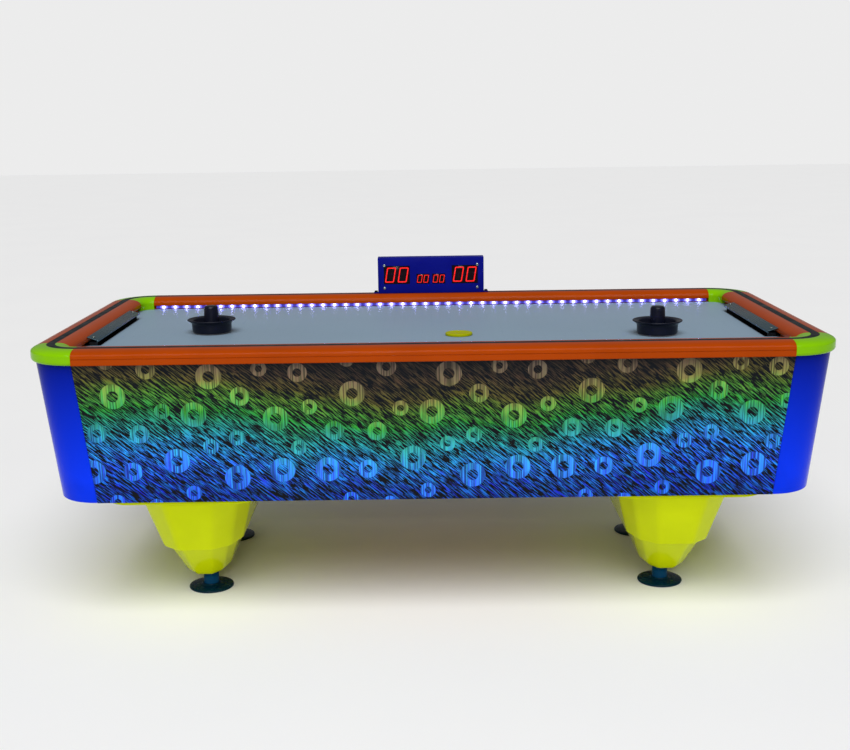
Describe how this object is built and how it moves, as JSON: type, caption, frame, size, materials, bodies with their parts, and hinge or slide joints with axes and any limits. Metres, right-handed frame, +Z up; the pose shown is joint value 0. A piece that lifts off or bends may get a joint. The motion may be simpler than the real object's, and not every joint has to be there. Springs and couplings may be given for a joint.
{
  "type": "air hockey table",
  "caption": "Arcade air hockey table: rounded rim over a printed cabinet on moulded pedestals, with goals, air-fed playfield, score board, mallets and puck.",
  "frame": {"origin": "on the floor under the centre of the table", "axes": "+Z up, X along the table from goal to goal, -Y towards the front"},
  "size_m": [1.86, 0.96, 0.7679],
  "materials": {
    "rim_orange": "glossy orange rail",
    "rim_lime": "glossy lime corner casting",
    "trim_black": "satin black inlay band",
    "printed_board": "board with a glossy dark holographic print, rings over slanting strokes",
    "post_blue": "glossy blue moulding",
    "field_white": "satin pale grey laminate with air holes",
    "pedestal_yellow": "glossy yellow-green moulding",
    "foot_teal": "dark blue-green paint",
    "bare_steel": "brushed",
    "score_navy": "satin navy paint",
    "black_plastic": "satin black",
    "display_black": "smoked display window with red digits",
    "board_wood": "raw board",
    "puck_yellow": "satin yellow",
    "light_white": "lit white strip",
    "felt_grey": "felt"
  },
  "bodies": {
    "table": {"rail_front": "rim_orange", "rail_back": "rim_orange", "rail_left": "rim_orange", "rail_right": "rim_orange", "rim_corner_back_right": "rim_lime", "corner_post_back_right": "post_blue", "rim_corner_back_left": "rim_lime", "corner_post_back_left": "post_blue", "rim_corner_front_left": "rim_lime", "corner_post_front_left": "post_blue", "rim_corner_front_right": "rim_lime", "corner_post_front_right": "post_blue", "rim_trim": "trim_black", "front_panel": "printed_board", "back_panel": "printed_board", "end_panel_left": "printed_board", "end_panel_right": "printed_board", "base_board": "board_wood", "cross_frame": "board_wood", "playfield": "field_white", "plenum_tray": "board_wood", "led_strip_front": "light_white", "led_strip_back": "light_white", "blower_housing": "black_plastic", "blower_motor": "bare_steel", "goal_cover_left": "bare_steel", "goal_box_left": "black_plastic", "return_bezel_left": "black_plastic", "pedestal_left": "pedestal_yellow", "score_display_left": "display_black", "score_bolt_left": "bare_steel", "goal_cover_right": "bare_steel", "goal_box_right": "black_plastic", "return_bezel_right": "black_plastic", "pedestal_right": "pedestal_yellow", "score_display_right": "display_black", "score_bolt_right": "bare_steel", "score_case": "score_navy", "score_back_cover": "score_navy", "timer_display": "display_black", "power_inlet": "black_plastic", "switch_frame": "black_plastic", "control_box": "bare_steel"},
    "mallet_left": {"mallet_left": "black_plastic", "mallet_felt_left": "felt_grey"},
    "mallet_right": {"mallet_right": "black_plastic", "mallet_felt_right": "felt_grey"},
    "puck": {"puck": "puck_yellow"},
    "service_door": {"service_door": "printed_board"},
    "door_lock": {"door_lock": "bare_steel"},
    "switch_rocker": {"switch_rocker": "black_plastic"},
    "impeller": {"blower_impeller": "bare_steel"},
    "foot_front_left": {"foot_pad_front_left": "foot_teal", "foot_stem_front_left": "foot_teal"},
    "foot_front_right": {"foot_pad_front_right": "foot_teal", "foot_stem_front_right": "foot_teal"},
    "foot_back_left": {"foot_pad_back_left": "foot_teal", "foot_stem_back_left": "foot_teal"},
    "foot_back_right": {"foot_pad_back_right": "foot_teal", "foot_stem_back_right": "foot_teal"}
  },
  "joints": [
    {"name": "mallet_left_slide", "type": "slide", "parent": "table", "child": "mallet_left", "axis": [1, 0, 0], "range_m": [-0.19, 0.46]},
    {"name": "mallet_right_slide", "type": "slide", "parent": "table", "child": "mallet_right", "axis": [1, 0, 0], "range_m": [-0.385, 0.195]},
    {"name": "puck_slide", "type": "slide", "parent": "table", "child": "puck", "axis": [0, 1, 0], "range_m": [-0.225, 0.475]},
    {"name": "service_door_hinge", "type": "hinge", "parent": "table", "child": "service_door", "pos_m": [-0.209, 0.45058, 0.4332], "axis": [0, 0.0924, 0.9957], "range_deg": [0, 110]},
    {"name": "door_lock_turn", "type": "hinge", "parent": "service_door", "child": "door_lock", "pos_m": [0.186, 0.45058, 0.4332], "axis": [0, 0.9957, -0.0924], "range_deg": [-90, 0]},
    {"name": "power_switch_rock", "type": "hinge", "parent": "table", "child": "switch_rocker", "pos_m": [0.7, 0.4445, 0.3677], "axis": [1, 0, 0], "range_deg": [-16, 0]},
    {"name": "impeller_spin", "type": "hinge", "parent": "table", "child": "impeller", "pos_m": [-0.18, 0.04, 0.39], "axis": [0, 0, 1], "continuous": true},
    {"name": "foot_front_left_height", "type": "slide", "parent": "table", "child": "foot_front_left", "axis": [0, 0, 1], "range_m": [-0.025, 0.015]},
    {"name": "foot_front_right_height", "type": "slide", "parent": "table", "child": "foot_front_right", "axis": [0, 0, 1], "range_m": [-0.025, 0.015]},
    {"name": "foot_back_left_height", "type": "slide", "parent": "table", "child": "foot_back_left", "axis": [0, 0, 1], "range_m": [-0.025, 0.015]},
    {"name": "foot_back_right_height", "type": "slide", "parent": "table", "child": "foot_back_right", "axis": [0, 0, 1], "range_m": [-0.025, 0.015]}
  ]
}
